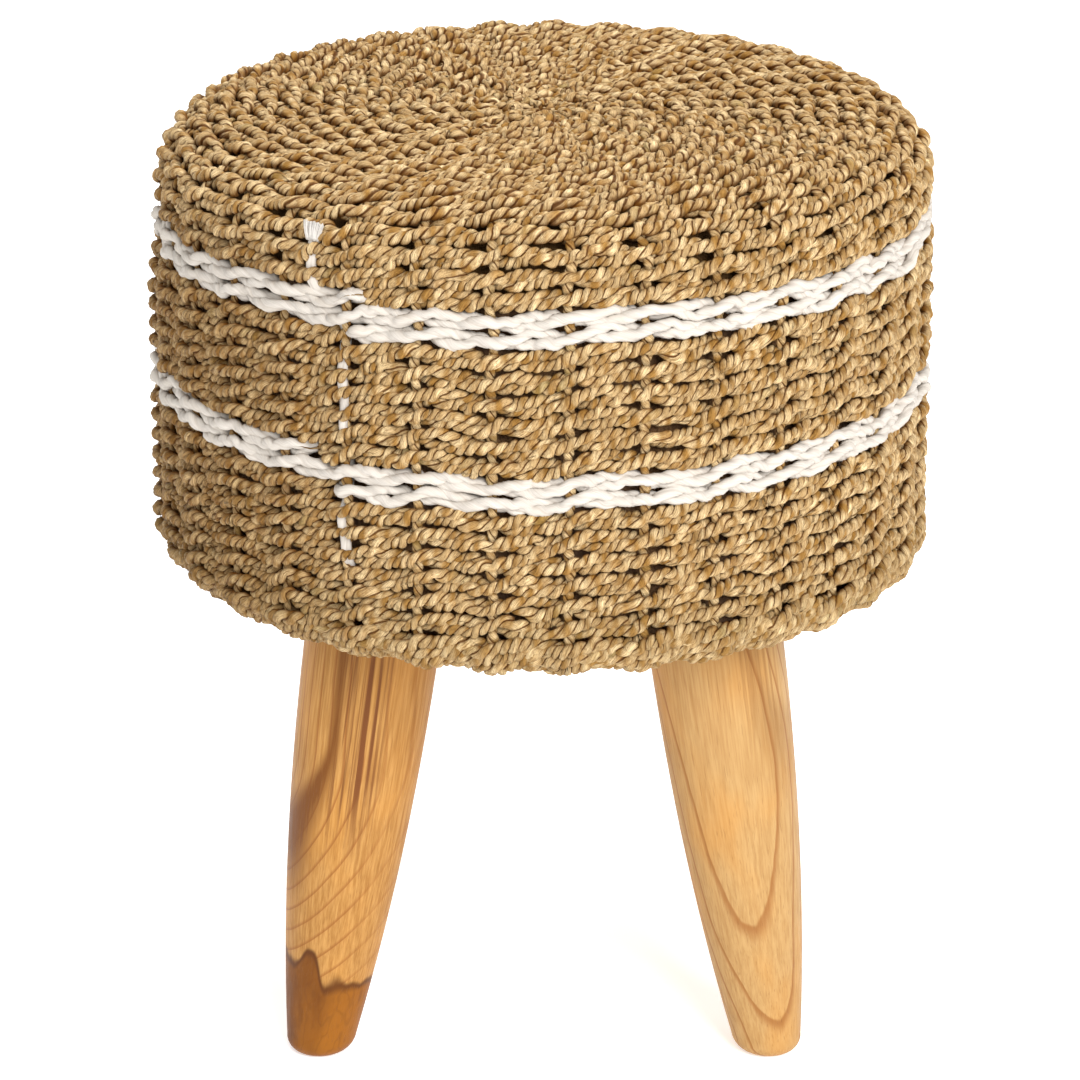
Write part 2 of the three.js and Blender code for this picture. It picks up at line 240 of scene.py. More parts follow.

# %% [markdown]
# Seagrass cord is two rolls of dried grass twisted together. Each roll is a little different in
# colour, the blades show as fine streaks along it, and the valley between the rolls is brown:
# partly the darker edges of the rolled leaves, partly painted shade.
# Every cord's mesh holds a UV map named cord: across it, the length along the cord in metres,
# and up it, the way round. The valleys lie at 0, 0.5 and 1, so the pattern follows the twist.
# The mesh also holds an attribute named facing: how far a point looks out of the cover. What
# turns inwards is painted darker: painted shade in the crevices between the cords, stronger on the
# seat and on the left. The left side below the seat is painted browner and darker, and the lowest
# rows near the hem darker and greyer, both as painted shade.


# %% Seagrass finish
def make_seagrass():
    finish = Finish("seagrass cord")
    along, around, _ = finish.separate(finish.stored("cord"))
    facing = finish.separate(finish.stored("facing"))[0]
    valley = finish.maths("ABSOLUTE", finish.maths("SINE", around * (2 * math.pi)))
    roll = finish.maths("ROUND", around)
    blades = finish.noise(finish.combine(along * 80, around * 40, roll * 7), 1, 3, 0.6)
    twists = finish.noise(finish.combine(along * 160, roll * 9, 0.0), 1, 1)
    crumple = finish.noise(finish.combine(along * 420, around * 9, roll * 3), 1, 2, 0.6)
    creases = finish.ramp(finish.maths("ABSOLUTE", crumple - 0.5), 0.030, 0.0)
    x, _, z = finish.separate(finish.place())
    lengths = finish.noise(finish.combine(along * 14, roll * 5, 3.0), 1, 2)
    straw = finish.mix(finish.ramp(twists, 0.34, 0.66), paint(157, 117, 59), paint(231, 204, 156))
    bladed = finish.mix(finish.ramp(blades, 0.34, 0.62, 0.65, 0.0), straw, paint(118, 80, 30))
    creased = finish.mix(creases * 0.5, bladed, paint(116, 74, 26))
    green = finish.ramp(lengths, 0.60, 0.72, 0.0, 0.5)
    grassy = finish.mix(green, creased, paint(136, 122, 66))
    rosy = finish.mix(finish.ramp(lengths, 0.38, 0.28, 0.0, 0.28), grassy, paint(184, 136, 94))
    # Painted shade: below the seat, the drum's left side is multiplied darker and browner, as the side
    # turned from the key lamp.
    on_left = finish.ramp(x, -0.05, -0.16) * finish.ramp(z, 0.44, 0.40)
    on_seat = finish.ramp(z, 0.420, 0.446)
    left_shaded = finish.mix(on_left, rosy, paint(212, 204, 192), "MULTIPLY")
    # Painted shade: the lowest rows, below a height of 0.275 m, are painted darker and greyer, as if
    # less lit.
    hem_shaded = finish.mix(finish.ramp(z, 0.275, 0.245, 0.0, 0.20), left_shaded, paint(116, 96, 58))
    # Painted shade: what faces inwards, into the crevices between cords, is painted darker, more so on
    # the seat and on the left.
    deep = finish.ramp(facing - on_seat * 0.30 - on_left * 0.15, 0.50, -0.40, 0.0, 0.80)
    crevice_shaded = finish.mix(deep, hem_shaded, paint(104, 59, 6))
    # The brown valley line is partly the leaves' darker edges and partly painted shade, painted wider
    # on the seat.
    seams = finish.ramp(valley - on_seat * 0.14, 0.06, 0.36, 0.93, 0.0)
    colour = finish.mix(seams, crevice_shaded, paint(80, 42, 3))
    height = blades * 0.6 + valley * 0.4 - creases * 0.3
    roughness = finish.ramp(blades, 0.3, 0.7, 0.72, 0.48)
    return finish.surface(colour, roughness, height, 0.0008, {"Specular IOR Level": 0.12})


seagrass = make_seagrass()
print("made", seagrass.name)

# %% [markdown]
# The white cord is bleached cotton, twisted the other way and much less tightly. Its threads are
# too fine to see one by one, so its finish is nearly even, with faint lines of painted shade along
# the twist. Where the cord frays, each thread is lit from all sides, so loose threads have a
# brighter finish.


# %% White cotton finish
def make_cotton(name, dim, bright, seams, shade):
    """Dim and bright are its two tones. Seams is the share of painted shade in the valleys between the
    rolls, and shade the share by which the side turned to the drum is painted darker."""
    finish = Finish(name)
    along, around, _ = finish.separate(finish.stored("cord"))
    facing = finish.separate(finish.stored("facing"))[0]
    valley = finish.maths("ABSOLUTE", finish.maths("SINE", around * (2 * math.pi)))
    threads = finish.noise(finish.combine(along * 60, around * 40, 0.0), 1, 2, 0.6)
    lengths = finish.noise(finish.combine(along * 20, around * 2, 5.0), 1, 2)
    fresh = finish.mix(finish.ramp(threads, 0.3, 0.7), paint(*dim), paint(*bright))
    handled = finish.mix(finish.ramp(lengths, 0.5, 0.8, 0.0, 0.4), fresh, paint(190, 177, 160))
    shaded = finish.mix(finish.ramp(facing, 0.4, -0.6, 0.0, shade), handled, paint(160, 144, 128))
    # Painted shade: the valleys between the rolls are painted darker by the share named seams.
    colour = finish.mix(finish.ramp(valley, 0.03, 0.36, seams, 0.0), shaded, paint(150, 136, 122))
    height = threads * 0.4 + valley * 0.6
    return finish.surface(colour, 0.85, height, 0.0005, {"Specular IOR Level": 0.25})


cotton = make_cotton("white cotton cord", (182, 174, 164), (201, 194, 185), 0.26, 0.3)
cotton_threads = make_cotton("white cotton threads", (206, 200, 192), (226, 221, 214), 0.0, 0.0)
print("made", cotton.name, "and", cotton_threads.name)

# %% [markdown]
# Teak is turned along its grain, so each leg's mesh holds a vector named log: where a point lies
# from the leg's axis, and how high. The growth rings are shells round a pith that lies beside or
# behind that axis. Where the leg tapers it cuts through the shells, and that alone draws the
# arches that joiners call cathedrals. Pores are thin dark dashes along the grain.


# %% Teak finish
def make_teak(name, light, pith, growth, knee, veins, streak, dark_foot):
    """The wood of one leg. Light is the share by which it is lighter, and the other values are:

    pith: its place from the leg's axis, x and y, and how far the grain has turned round that axis
        at the foot and at the top
    growth: a year's width, how far from the pith its rings still show, their strength on the
        right side, and the least strength of a ring
    knee: the height below which the rings close in, and by what share
    veins: the left and right limit of the fine dark lines, their lowest height and strength
    streak: the place of the one dark band at its top and bottom, its heights there, its strength
    dark_foot: the height up to which the leg is dark, and less than nothing where it isn't
    """
    pith_x, pith_y, foot_turn, top_turn = pith
    year_width, rings_end, right_rings, least_ring = growth
    knee_height, knee_share = knee
    left, right, low, strength = veins
    top_x, foot_x, high_z, low_z, dark = streak

    finish = Finish(name)
    x, y, z = finish.separate(finish.stored("log"))
    bend = finish.noise(finish.combine(x * 14, y * 14, z * 9), 1, 2) - 0.5
    fine_bend = finish.noise(finish.combine(x * 70, y * 70, z * 30), 1, 2) - 0.5

    # The growth rings, as shells round the pith.
    grain_turn = finish.ramp(z, 0.0, 0.085, foot_turn, 0.0) + finish.ramp(z, 0.14, 0.25, 0.0, top_turn)
    sine, cosine = finish.maths("SINE", grain_turn), finish.maths("COSINE", grain_turn)
    out_x = x * cosine - y * sine - pith_x + bend * 0.006
    out_y = x * sine + y * cosine - pith_y + fine_bend * 0.0016
    below = finish.maths("MINIMUM", z - knee_height, 0.0) * knee_share
    reach = finish.maths("SQRT", out_x * out_x + out_y * out_y + below * below)
    rings = finish.maths("FRACT", reach / year_width)
    late = finish.ramp(rings, 0.76, 0.96) * finish.ramp(rings, 1.0, 0.96)
    late = late * finish.ramp(reach, rings_end + 0.001, rings_end, 0.12, 1.0)
    late = late * finish.ramp(x, 0.002, 0.016, 1.0, right_rings)
    year = finish.maths("FLOOR", reach / year_width)
    years = finish.noise(finish.combine(year * 5.3, 0.0, 2.0), 1, 0)

    # Plain wood, with its fibres and pores, and the rings on it.
    fibres = finish.noise(finish.combine(x * 800, y * 800, z * 22), 1, 3, 0.65)
    pores = finish.noise(finish.combine(x * 1900, y * 1900, z * 70), 1, 1)
    clouds = finish.noise(finish.combine(x * 40, y * 40, z * 16), 1, 2)
    plain = finish.mix(finish.ramp(fibres, 0.25, 0.75), paint(143, 98, 46), paint(176, 131, 73))
    light_grain = finish.mix(finish.ramp(fibres, 0.25, 0.75), paint(157, 119, 72), paint(176, 141, 91))
    pale = finish.mix(light, plain, light_grain)
    golden = finish.mix(finish.ramp(clouds, 0.45, 0.75, 0.0, 0.45), pale, paint(184, 130, 62))
    ring_share = late * finish.ramp(years, 0.35, 0.6, least_ring, 0.75)
    ringed = finish.mix(ring_share, golden, paint(132, 80, 34))

    # The veins, between their two limits.
    vein_noise = finish.noise(finish.combine(x * 420, y * 90, z * 5), 1, 2, 0.6)
    inside = finish.ramp(x, left, left + 0.005) * finish.ramp(x, right, right - 0.005)
    vein_share = finish.ramp(vein_noise, 0.44, 0.60) * inside * finish.ramp(z, low, low + 0.05)
    veined = finish.mix(vein_share * strength, ringed, paint(104, 60, 26))

    # The streak, which widens as it comes down.
    middle = finish.ramp(z, high_z, low_z, top_x, foot_x)
    width = finish.ramp(z, high_z, low_z, 0.0026, 0.0080)
    off_middle = finish.maths("ABSOLUTE", x - middle + bend * 0.004) / width
    smoke = finish.ramp(off_middle, 1.7, 0.0) * finish.ramp(z, low_z - 0.045, low_z + 0.01)
    smoke = smoke * finish.ramp(y, 0.004, -0.004) * finish.ramp(z, 0.20, low_z, 0.8, 1.0)
    streaked = finish.mix(smoke * (0.3 + fibres) * dark, veined, paint(106, 62, 20))

    # The dark foot. Its upper edge has a hump on the left, and a still darker rim.
    edge = dark_foot + finish.ramp(x, -0.001, -0.0105, 0.0, 0.021)
    edge = edge - finish.ramp(x, -0.0115, -0.018, 0.0, 0.009)
    edge = edge + bend * 0.012 + fine_bend * 0.014 + (clouds - 0.5) * 0.008
    toast = finish.mix(finish.ramp(clouds, 0.35, 0.65), paint(98, 53, 4), paint(134, 80, 14))
    marks = finish.noise(finish.combine(x * 110, y * 110, z * 45), 1, 2, 0.6)
    marked = finish.ramp(finish.maths("ABSOLUTE", marks - 0.5), 0.05, 0.0, 0.0, 0.22)
    marked = marked + finish.ramp(marks, 0.62, 0.75, 0.0, 0.4)
    toasted = finish.mix(marked, toast, paint(74, 36, 4))
    footed = finish.mix(finish.ramp(z, edge + 0.0014, edge - 0.0020, 0.0, 0.96), streaked, toasted)
    rim_width = finish.ramp(fine_bend, -0.2, 0.3, 0.0025, 0.0075)
    rim = finish.ramp(finish.maths("ABSOLUTE", z - edge + 0.0014), rim_width, 0.0)
    rimmed = finish.mix(rim * (0.8 if dark_foot > 0 else 0.0), footed, paint(74, 38, 8))

    # The pores go over everything.
    pored = finish.mix(finish.ramp(pores, 0.62, 0.74, 0.0, 0.3), rimmed, paint(112, 70, 34))
    height = fibres * 0.6 - finish.ramp(pores, 0.62, 0.74) * 0.4
    roughness = finish.ramp(fibres, 0.3, 0.7, 0.55, 0.42)
    return finish.surface(pored, roughness, height, 0.00012, {"Specular IOR Level": 0.14})


print("a function that makes teak")

# %% [markdown]
# Each leg was cut from another place in the log, so each has its own pith, rings and veins. The
# left front leg has the streak and the dark foot, and the right one the arches. The two at the
# back are plainer. The values stand in the order in which the function names them.

# %% Teak for each leg
no_knee = (0.0, 0.0)
no_streak = (0.0, 0.0, 0.2, 0.1, 0.0)
no_dark_foot = -0.1
teaks = {
    "front_left": make_teak(
        "teak, front left",
        0.0,
        (-0.030, 0.004, 0.0, 0.0),
        (0.0060, 1.0, 0.45, 0.85),
        (0.160, 0.60),
        (-0.016, 0.013, 0.098, 1.0),
        (-0.0132, -0.0262, 0.168, 0.112, 1.4),
        0.040,
    ),
    "front_right": make_teak(
        "teak, front right",
        1.0,
        (0.0, 0.0545, -0.42, 0.55),
        (0.0067, 0.0800, 1.0, 0.72),
        no_knee,
        (0.006, 0.030, 0.15, 0.35),
        (0.018, 0.024, 0.200, 0.165, 0.4),
        no_dark_foot,
    ),
    "back_right": make_teak(
        "teak, back right",
        0.8,
        (0.012, -0.052, 0.2, 0.3),
        (0.0042, 1.0, 0.8, 0.4),
        no_knee,
        (-0.02, 0.004, 0.12, 0.3),
        no_streak,
        no_dark_foot,
    ),
    "back_left": make_teak(
        "teak, back left",
        0.5,
        (-0.010, -0.060, -0.1, -0.3),
        (0.0050, 1.0, 0.9, 0.3),
        no_knee,
        (0.0, 0.03, 0.08, 0.4),
        no_streak,
        no_dark_foot,
    ),
}
print("made", len(teaks), "teak finishes")

# %% [markdown]
# The inside is seen only from below and through the holes of the weave, but it still has to be
# right: plywood with its plies along the edge, pressed board for the wall, planed softwood, steel,
# and a dark pad. All of them read object coordinates, because their pieces stay where CAD put
# them, and a pattern of noise is cheap and never repeats. The pale floor has its finish here too.


# %% Finishes of the inside
def make_plywood():
    finish = Finish("plywood")
    x, y, z = finish.separate(finish.place())
    grain = finish.noise(finish.combine(x * 14, y * 240, z * 240), 1, 4, 0.6)
    figure = finish.noise(finish.combine(x * 5, y * 38, z * 20), 1, 2)
    waves = finish.maths("FRACT", figure * 7)
    plies = finish.maths("FRACT", z / 0.003)
    face = finish.mix(finish.ramp(grain, 0.3, 0.7), paint(188, 148, 98), paint(222, 188, 138))
    figured = finish.mix(finish.ramp(waves, 0.7, 1.0, 0.0, 0.4), face, paint(160, 112, 66))
    sides = finish.separate(finish.value(finish.node("ShaderNodeNewGeometry"), "Normal"))
    upright = finish.ramp(finish.maths("ABSOLUTE", sides[2]), 0.7, 0.3)
    layered = finish.mix(upright * finish.ramp(plies, 0.45, 0.55), figured, paint(142, 98, 60))
    return finish.surface(layered, finish.ramp(grain, 0.3, 0.7, 0.75, 0.6), grain, 0.0002)


def make_hardboard():
    finish = Finish("pressed board")
    place = finish.place()
    specks = finish.noise(place, 700, 3, 0.7)
    clouds = finish.noise(place, 30, 2)
    board = finish.mix(finish.ramp(specks, 0.35, 0.65), paint(96, 66, 34), paint(142, 104, 64))
    colour = finish.mix(finish.ramp(clouds, 0.4, 0.7, 0.0, 0.5), board, paint(126, 98, 80))
    return finish.surface(colour, finish.ramp(specks, 0.3, 0.7, 0.9, 0.7), specks, 0.0003)


def make_softwood():
    finish = Finish("planed softwood")
    x, y, z = finish.separate(finish.place())
    bend = finish.noise(finish.combine(x * 12, y * 12, z * 5), 1, 2)
    rings = finish.maths("FRACT", (x + y * 0.7 + bend * 0.012) / 0.0045)
    fibres = finish.noise(finish.combine(x * 500, y * 500, z * 20), 1, 3)
    pale = finish.mix(finish.ramp(fibres, 0.3, 0.7), paint(220, 188, 134), paint(238, 214, 166))
    late = finish.ramp(rings, 0.5, 0.92) * finish.ramp(rings, 1.0, 0.94)
    colour = finish.mix(late * 0.7, pale, paint(190, 134, 76))
    return finish.surface(colour, finish.ramp(fibres, 0.3, 0.7, 0.7, 0.55), fibres, 0.00015)


def make_steel():
    finish = Finish("plated steel")
    place = finish.place()
    scratches = finish.noise(place, 1500, 2, 0.6)
    clouds = finish.noise(place, 120, 2)
    colour = finish.mix(finish.ramp(clouds, 0.3, 0.7), paint(176, 174, 168), paint(206, 206, 204))
    roughness = finish.ramp(scratches, 0.3, 0.7, 0.28, 0.45)
    return finish.surface(colour, roughness, scratches, 0.00003, {"Metallic": 1.0})


def make_pad_cloth():
    finish = Finish("dark pad cloth")
    place = finish.place()
    x, y, _ = finish.separate(place)
    warp = finish.maths("ABSOLUTE", finish.maths("SINE", x * 3900))
    weft = finish.maths("ABSOLUTE", finish.maths("SINE", y * 3900))
    lint = finish.noise(place, 260, 3, 0.6)
    thread = warp * weft
    colour = finish.mix(thread * finish.ramp(lint, 0.2, 0.8), paint(84, 58, 28), paint(136, 104, 66))
    return finish.surface(colour, 0.95, thread, 0.0002, {"Specular IOR Level": 0.2})


def make_floor_paint():
    finish = Finish("pale floor")
    clouds = finish.noise(finish.place(), 3, 3)
    colour = finish.mix(finish.ramp(clouds, 0.3, 0.7), paint(246, 246, 246), paint(250, 250, 250))
    glow = {"Emission Color": (1, 1, 1, 1), "Emission Strength": 0.45}
    return finish.surface(colour, 0.8, None, 0, glow)


print("functions that make the finishes of the inside and the floor")

# %% [markdown]
# The last word of a CAD node's name says what kind of piece it is, and that picks the finish. The
# pieces of the inside are seen as CAD made them. The rings of the cover, the pad and the legs get
# no finish here, because new pieces will stand in for them.

# %% Put the finishes on
plywood = make_plywood()
hardboard = make_hardboard()
softwood = make_softwood()
steel = make_steel()
pad_cloth = make_pad_cloth()
floor.data.materials.append(make_floor_paint())

inside_finishes = {
    "board": plywood,
    "wall": hardboard,
    "post": softwood,
    "wedge": softwood,
    "dowel": softwood,
    "screw": steel,
    "washer": steel,
}
for name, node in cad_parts.items():
    last_word = name.split("_")[-1]
    if last_word in inside_finishes:
        node.data.materials.clear()
        node.data.materials.append(inside_finishes[last_word])
print("finishes on the boards, posts, wall, wedges, dowels and screws")

# %% [markdown]
# The drum's section is the road that the cover follows: flat over the top, round the pad's edge,
# down the side, round the foot and a little way back under the base. A place on it is the length
# along the cover's outside and a layer, the distance outside the drum's body. The sizes come from
# the boxes of the CAD nodes, so the cover always fits its drum. A hand-made cover isn't quite
# round, so it stands off the drum by a few millimetres more in some places.

# %% The drum's section
wall_low, wall_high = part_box("drum_wall")
pad_low, pad_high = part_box("foam_pad")
cover_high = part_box("lower_weave")[1]

drum_radius = wall_high.x
cover_depth = cover_high.x - drum_radius
pad_rounding = pad_high.z - pad_low.z
wall_rounding = 0.001
hem_width = 0.0214

least_gap = 0.0006
pad_edge_gap = 0.0030
foot_gap = 0.0024
side_gap = 0.0006
left_gap = 0.0034
left_draw = 0.0018

flat_length = drum_radius - pad_rounding
top_arc = (pad_rounding + cover_depth) * math.pi / 2
side_start = flat_length + top_arc
side_length = pad_low.z - wall_low.z - wall_rounding
foot_start = side_start + side_length
foot_arc = (wall_rounding + cover_depth) * math.pi / 2
under_start = foot_start + foot_arc
cover_end = under_start + hem_width - wall_rounding


def section(length, layer):
    """Radius and height, and the outward direction as its two shares."""
    top = np.clip((length - flat_length) / top_arc, 0, 1) * math.pi / 2
    foot = np.clip((length - foot_start) / foot_arc, 0, 1) * math.pi / 2
    radius = (
        np.minimum(length, flat_length)
        + (pad_rounding + layer) * np.sin(top)
        - (wall_rounding + layer) * (1 - np.cos(foot))
        - np.maximum(length - under_start, 0)
    )
    height = (
        pad_low.z
        + (pad_rounding + layer) * np.cos(top)
        - np.clip(length - side_start, 0, side_length)
        - (wall_rounding + layer) * np.sin(foot)
    )
    return radius, height, np.sin(top) + np.cos(foot) - 1, np.cos(top) - np.sin(foot)


def smooth_step(value, low, high):
    share = np.clip((value - low) / (high - low), 0, 1)
    return share * share * (3 - 2 * share)


def fullness(length):
    """The cover stands off a little more where it rounds the pad's edge and the foot."""
    share = np.clip((length - flat_length) / top_arc, 0, 1)
    pad_edge = np.sin(math.pi * share**1.3) ** 2
    foot = smooth_step(length, foot_start - 0.014, under_start)
    foot = foot * (1 - smooth_step(length, under_start + 0.001, under_start + 0.008))
    return least_gap + pad_edge_gap * pad_edge + foot_gap * foot


def lean(azimuth, length):
    """The cover is fuller on its side, most of all on the left, and there its foot is drawn in."""
    full = smooth_step(length, 0.222, 0.255) * (1 - smooth_step(length, 0.370, 0.390))
    drawn = smooth_step(length, 0.376, 0.392) * (1 - smooth_step(length, 0.394, 0.408))
    leftward = np.clip(-np.sin(azimuth), 0, 1) ** 2
    return leftward * (left_gap * full - left_draw * drawn) + side_gap * full


def on_drum(azimuth, length, layer):
    """Points and outward directions. The azimuth is the turn from the front to the right."""
    layer = layer + fullness(length) + lean(azimuth, length)
    radius, height, out_radius, out_height = section(length, layer)
    points = np.stack([radius * np.sin(azimuth), -radius * np.cos(azimuth), height], 1)
    outward = np.stack(
        [out_radius * np.sin(azimuth), -out_radius * np.cos(azimuth), out_height + 0 * azimuth], 1
    )
    return points, outward


print("the cover's section is", round(cover_end * 1000), "mm long")
print("and the cover is", round(cover_depth * 1000, 1), "mm deep")

# %% [markdown]
# A cover like this is twined: 33 warp cords run like the ribs of an umbrella, and a pair of cords
# goes round and round in one long spiral. At each warp one cord of the pair passes in front and
# the other behind, and between two warps they change places with half a twist. So a row is one
# cord thick at a warp and two cords thick between warps, which leaves the small dark holes.
# The spiral is a table of lengths along the section, one for each fine step of its turns. Each
# row lies half its own width and half its neighbour's below the one above it, and the rows close
# up round the foot, where the weaver pulled them tight.

# %% The spiral of rows
row_pitch = 0.0103
white_pitch = 0.0084
first_row = 0.0052
steps_per_turn = 500
seam_azimuth = math.radians(-26)
upper_band_turns = (20.0045, 22.0095)
lower_band_turns = (28.025, 30.016)
most_turns = 44
foot_squeeze = 0.45


def is_white(turns):
    upper = (turns >= upper_band_turns[0]) & (turns < upper_band_turns[1])
    lower = (turns >= lower_band_turns[0]) & (turns < lower_band_turns[1])
    return upper | lower


spiral_turns = np.arange(most_turns * steps_per_turn) / steps_per_turn
row_widths = np.where(is_white(spiral_turns), white_pitch, row_pitch)
spiral_lengths = first_row + row_pitch * spiral_turns
for step in range(int(upper_band_turns[0] * steps_per_turn), len(spiral_turns)):
    above = step - steps_per_turn
    near_foot = float(smooth_step(spiral_lengths[above], foot_start - 0.010, foot_start + 0.002))
    squeeze = 1 - foot_squeeze * near_foot
    row_step = (row_widths[step] + row_widths[above]) / 2
    spiral_lengths[step] = spiral_lengths[above] + squeeze * row_step
blur = np.ones(31) / 31
spiral_lengths[15:-15] = np.convolve(spiral_lengths, blur, "valid")
last_turn = float(np.interp(cover_end - 0.004, spiral_lengths, spiral_turns))
print("the spiral has", round(last_turn, 2), "turns")

# %% [markdown]
# Near the middle there is no room for 33 warps, so a weaver starts with 8, adds 8 more, and adds
# the rest further out. Every meeting of the spiral with a warp is a crossing. The twist of the
# pair is worked out from the crossings alone: half a turn from each one to the next. The cut end
# of the white cord counts as one more warp in the two rows that hold it.

# %% Warps and crossings
warp_count = 33
warp_layer = 0.0070
first_warp = math.radians(3.5)
hub_reach = 0.028
crown_reach = 0.085
tail_azimuth = math.radians(-35.2)
tail_turns = (18, 19)


def wander(values, wavelength, seed):
    """Smooth random numbers about 0, mostly between -2 and 2."""
    rng = np.random.default_rng(seed)
    total = 0 * values
    for _ in range(6):
        waves = rng.uniform(0.6, 1.6) * values / wavelength + rng.random()
        total = total + np.sin(2 * math.pi * waves)
    return total / math.sqrt(3)


def warp_azimuth(index, length):
    """A warp isn't quite straight: the rows push it a little to one side or the other."""
    sway = 0.0008 * wander(np.asarray(length, float), 0.05, 100 + index) / np.maximum(length, 0.06)
    return first_warp + index * 2 * math.pi / warp_count + sway


mid_warps = {round(step * warp_count / 16) % warp_count for step in range(16)}
hub_warps = {round(step * warp_count / 8) % warp_count for step in range(8)}


def warp_start(index):
    """Where along the section a warp begins: in the hub, at its edge, or out on the crown."""
    if index in hub_warps:
        return 0.004
    if index in mid_warps:
        return hub_reach - 0.006
    return crown_reach - 0.008


warp_starts = [warp_start(index) for index in range(warp_count)]

crossing_rng = np.random.default_rng(3)
crossings = []
for turn in range(most_turns):
    for index in range(warp_count):
        rest = first_warp + index * 2 * math.pi / warp_count
        place = turn + ((seam_azimuth - rest) / (2 * math.pi)) % 1
        length = np.interp(place, spiral_turns, spiral_lengths)
        swayed = turn + ((seam_azimuth - warp_azimuth(index, length)) / (2 * math.pi)) % 1
        if length > warp_starts[index] + 0.004:
            shift = crossing_rng.normal(0, 0.0008) / (2 * math.pi * max(length, 0.03))
            crossings.append(float(swayed) + shift)
for turn in tail_turns:
    crossings.append(turn + (seam_azimuth - tail_azimuth) / (2 * math.pi))
crossings = np.array(sorted(crossings))
crossing_phases = -math.pi * np.arange(len(crossings))
crossing_lengths = np.interp(crossings, spiral_turns, spiral_lengths)
crossing_radii = np.maximum(section(crossing_lengths, warp_layer)[0], 0.004)
crossing_gaps = np.gradient(crossings) * 2 * math.pi * crossing_radii
hem_gap = float(crossing_gaps[-60:].mean())
print(len(crossings), "crossings,", round(hem_gap * 1000, 1), "mm apart at the hem")

# %% [markdown]
# One strand of the pair is a line in space. At a crossing it lies outside or inside the warps,
# between crossings it lies above or below its partner. Small smooth random shifts keep it from
# looking machine made: some it shares with its partner and the rows near it, some are its own.

# %% The path of one strand
# Rise is how far a strand goes up or down between warps, and skew how unevenly it does. Reach is
# how far it goes out in front of a warp or in behind it. Where warps stand close, it has less room.
mean_radius = 0.16
natural_radius = 0.0030
white_radius = 0.0029
natural_rise = 0.00235
white_rise = 0.0021
natural_skew = 0.28
white_skew = 0.05
front_reach = 0.0033
back_reach = 0.0020
back_drop = 0.0013
bulge_between = 0.0004
free_gap = 0.017
least_room = 0.55
shared_shift = 0.00042
left_push = 0.0088
slow_shift = 0.00060
quick_shift = 0.00028

wave_rng = np.random.default_rng(7)
wobble_waves = [
    (int(wave_rng.integers(2, 19)), wave_rng.uniform(-40, 40), wave_rng.uniform(0, 2 * math.pi))
    for _ in range(9)
]


def row_wobble(azimuth, length):
    """How far a row lies from its even place. On the left the rows were pushed down by hand."""
    total = 0 * azimuth
    for waves, slope, start in wobble_waves:
        total = total + np.sin(waves * azimuth + slope * length + start)
    leftward = (-azimuth / (2 * math.pi)) % 1
    on_left = smooth_step(leftward, 0.025, 0.115) - smooth_step(leftward, 0.30, 0.62)
    pushed = smooth_step(length, 0.05, 0.215) * (1 - 0.66 * smooth_step(length, 0.228, 0.30))
    pushed = pushed * (1 - smooth_step(length, 0.31, 0.40))
    return shared_shift * total + left_push * on_left * pushed


def strand_path(turns, strand):
    """Points and outward directions along strand 0 or 1 of the pair."""
    azimuth = seam_azimuth - 2 * math.pi * turns
    length = np.interp(turns, spiral_turns, spiral_lengths)
    phase = np.interp(turns, crossings, crossing_phases) + strand * math.pi
    room = np.clip(np.interp(turns, crossings, crossing_gaps) / free_gap, least_room, 1)
    run = 2 * math.pi * turns * mean_radius
    rise = np.where(is_white(turns), white_rise, natural_rise) * (0.55 + 0.45 * room)
    skew = np.where(is_white(turns), white_skew, natural_skew)
    rise = rise * np.sin(phase + skew * np.sin(2 * phase))
    own_shift = slow_shift * wander(run, 0.030, 30 + strand)
    own_shift = own_shift + quick_shift * wander(run, 0.009, 35 + strand)
    own_shift = own_shift * room
    swing = np.cos(phase + 0.25 * np.sin(2 * phase))
    drop = back_drop * (1 - swing) / 2 * smooth_step(length, flat_length, side_start)
    reach = np.where(swing > 0, front_reach, back_reach) * room
    reach = reach * (1 + 0.10 * wander(run, 0.05, 20 + strand))
    layer = warp_layer + reach * swing + bulge_between * (1 - swing**2)
    layer = layer + 0.00022 * wander(run, 0.018, 40 + strand)
    length = length - rise + own_shift + drop + row_wobble(azimuth, length)
    return on_drum(azimuth, length, layer)


print("a strand at turn 25 is at", strand_path(np.array([25.0]), 0)[0].round(4).tolist())

# %% [markdown]
# A cord is a tube whose outline is two oval lobes, one for each roll of grass, and the outline
# turns as it goes. The outline's corners follow the rolls, so a few of them draw a crisp twist.
# A sweep carries the outline along a path. It knows which way is outwards at each point, so
# nothing but the cord's own twist turns the outline.


# %% The outline of a cord and its sweep
def lobed_outline(offset, stretch=1.0, corners=(22, 60)):
    """Angles and radii of two oval lobes, starting at a valley between them. The offset is how far
    a lobe's middle lies from the cord's axis. A roll crosses the cut at a slant, so its lobe is
    wider than it is deep, by the stretch."""
    wide = [-corners[1], -corners[0], corners[0], corners[1]]
    angles = np.radians([90, *[180 + a for a in wide], 270, *[360 + a for a in wide]])
    depth = 1 - offset
    ahead, across = np.abs(np.cos(angles)) / depth, np.sin(angles) / (depth * stretch)
    square, middle = ahead**2 + across**2, offset / depth * ahead
    return angles, (middle + np.sqrt(middle**2 + square * (1 - (offset / depth) ** 2))) / square


